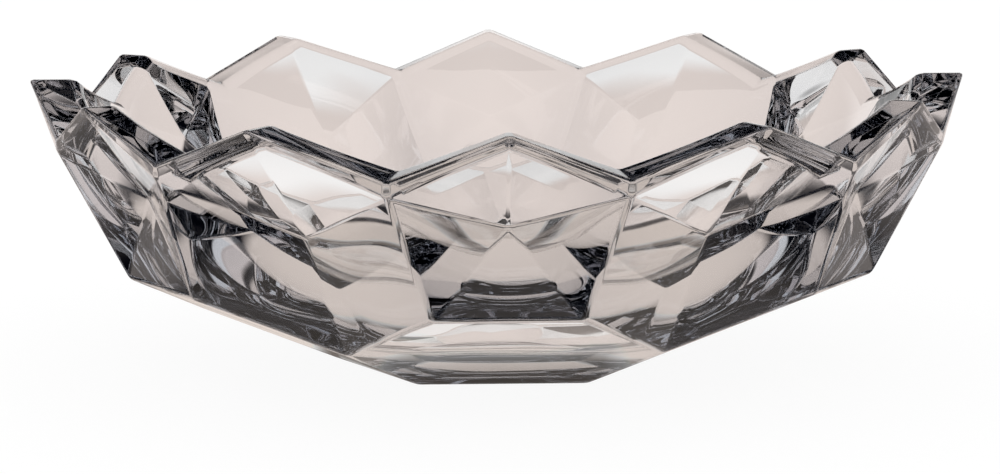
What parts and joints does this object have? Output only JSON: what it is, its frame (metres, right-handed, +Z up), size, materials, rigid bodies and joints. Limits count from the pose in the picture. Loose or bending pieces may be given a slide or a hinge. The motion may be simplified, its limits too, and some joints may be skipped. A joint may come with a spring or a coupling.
{
  "type": "salad bowl",
  "caption": "Thick clear crystal salad bowl with a smooth round hollow, flat cut facets outside, a zigzag rim and a flat base to stand on.",
  "frame": {"origin": "middle of the flat base, on the surface the bowl stands on", "axes": "+Z up along the bowl's axis, -Y towards the middle of one bay of facets"},
  "size_m": [0.28, 0.2728, 0.0855],
  "materials": {
    "crystal": "polished clear crystal"
  },
  "bodies": {
    "root": {"glass_bowl": "crystal"}
  },
  "joints": []
}
